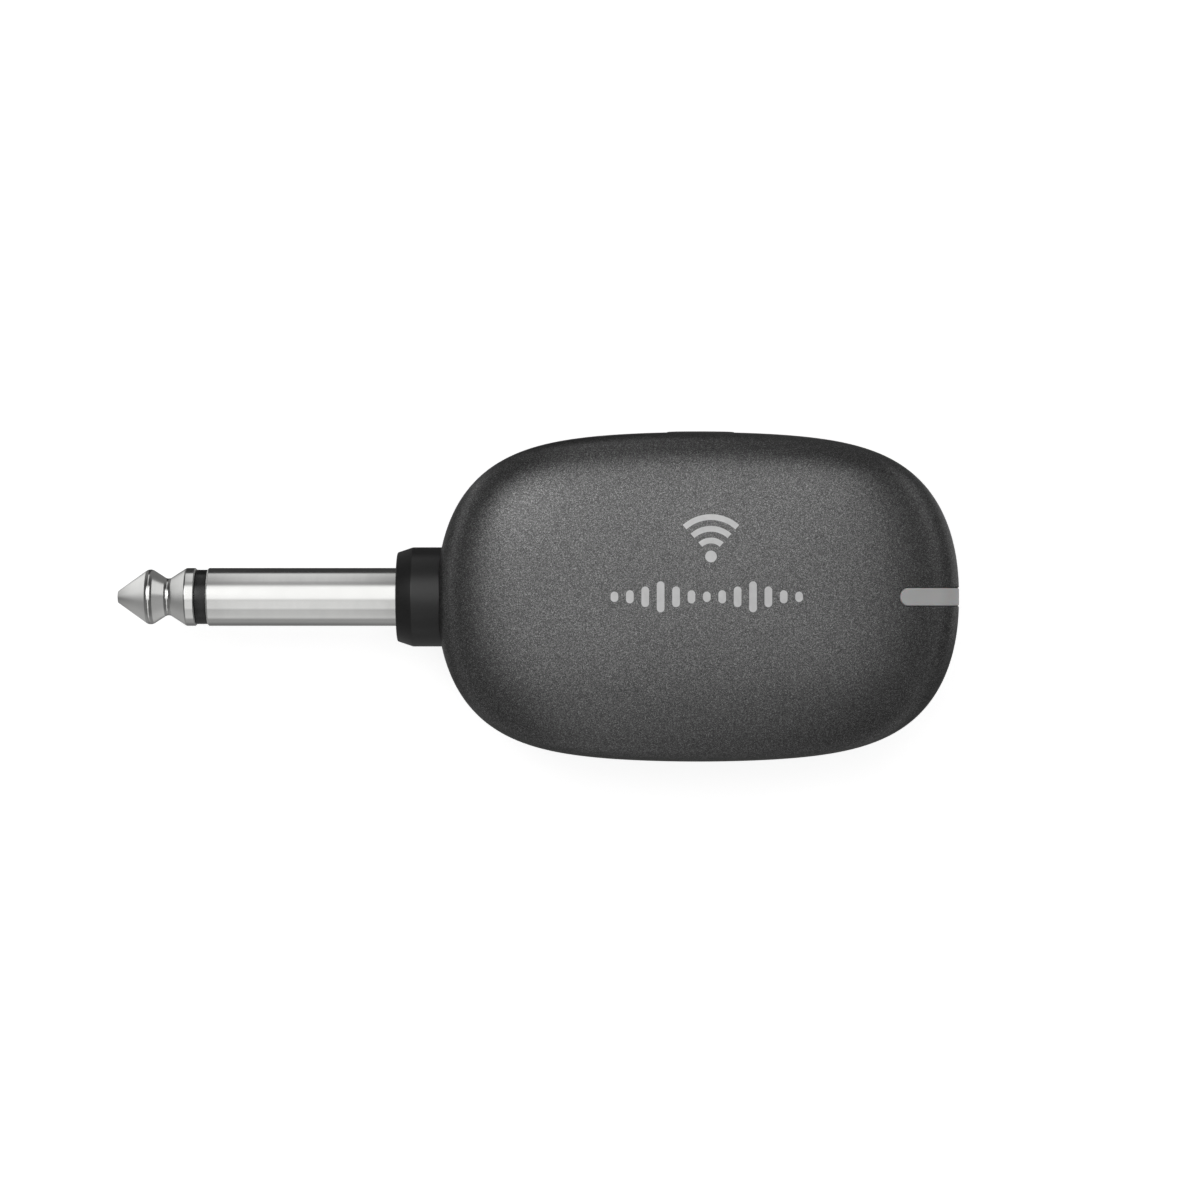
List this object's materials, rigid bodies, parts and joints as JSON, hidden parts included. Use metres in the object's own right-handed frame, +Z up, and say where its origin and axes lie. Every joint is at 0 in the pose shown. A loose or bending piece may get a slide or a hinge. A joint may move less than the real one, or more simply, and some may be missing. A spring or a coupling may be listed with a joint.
{
  "type": "wireless guitar transmitter",
  "caption": "Pebble-shaped wireless guitar transmitter: flat rounded housing with a straight quarter-inch plug at one end, a light strip and a side button.",
  "frame": {"origin": "middle of the bounding box in X and Y, on the plane the flat base rests on", "axes": "-X along the plug towards its tip, +Y towards the side button, +Z up through the top face"},
  "size_m": [0.0918, 0.0358, 0.0205],
  "materials": {
    "shell": "satin with a fine metallic speckle",
    "black_plastic": "satin",
    "black_insulator": "gloss",
    "nickel": "polished",
    "gold_contact": "polished",
    "steel": "satin",
    "diffuser": "translucent satin",
    "circuit_board": "satin",
    "foil": "satin",
    "tape": "matt",
    "chip_package": "matt",
    "ceramic": "matt",
    "red_insulation": "satin",
    "black_insulation": "satin",
    "white_plastic": "satin"
  },
  "bodies": {
    "housing": {"upper_shell": "shell", "lower_shell": "shell", "light_guide": "diffuser", "plug_tip": "nickel", "plug_insulator": "black_insulator", "plug_sleeve": "nickel", "plug_collar": "black_plastic", "ground_terminal": "steel", "plug_nut": "nickel", "tip_terminal": "steel", "main_board": "circuit_board", "switch_body": "chip_package", "radio_shield": "steel", "radio_chip": "chip_package", "audio_chip": "chip_package", "charger_chip": "chip_package", "clock_crystal": "foil", "chip_antenna": "ceramic", "status_led": "white_plastic", "battery": "foil", "battery_tape": "tape", "battery_plug": "white_plastic", "battery_lead_red": "red_insulation", "battery_lead_black": "black_insulation", "tip_wire": "red_insulation", "ground_wire": "black_insulation", "charge_contact_negative": "gold_contact", "charge_contact_positive": "gold_contact", "shell_screw_1": "steel", "shell_screw_2": "steel", "shell_screw_3": "steel", "shell_screw_4": "steel"},
    "button": {"side_button": "shell"},
    "plunger": {"switch_plunger": "white_plastic"}
  },
  "joints": [
    {"name": "button_press", "type": "slide", "parent": "housing", "child": "button", "axis": [0, -1, 0], "range_m": [0, 0.0005], "stiffness_N_per_m": 3000, "springref_m": -0.0001},
    {"name": "plunger_press", "type": "slide", "parent": "housing", "child": "plunger", "axis": [0, -1, 0], "range_m": [0, 0.0005]}
  ],
  "couplings": [
    {"joint": "plunger_press", "follows": "button_press", "ratio": 1}
  ]
}
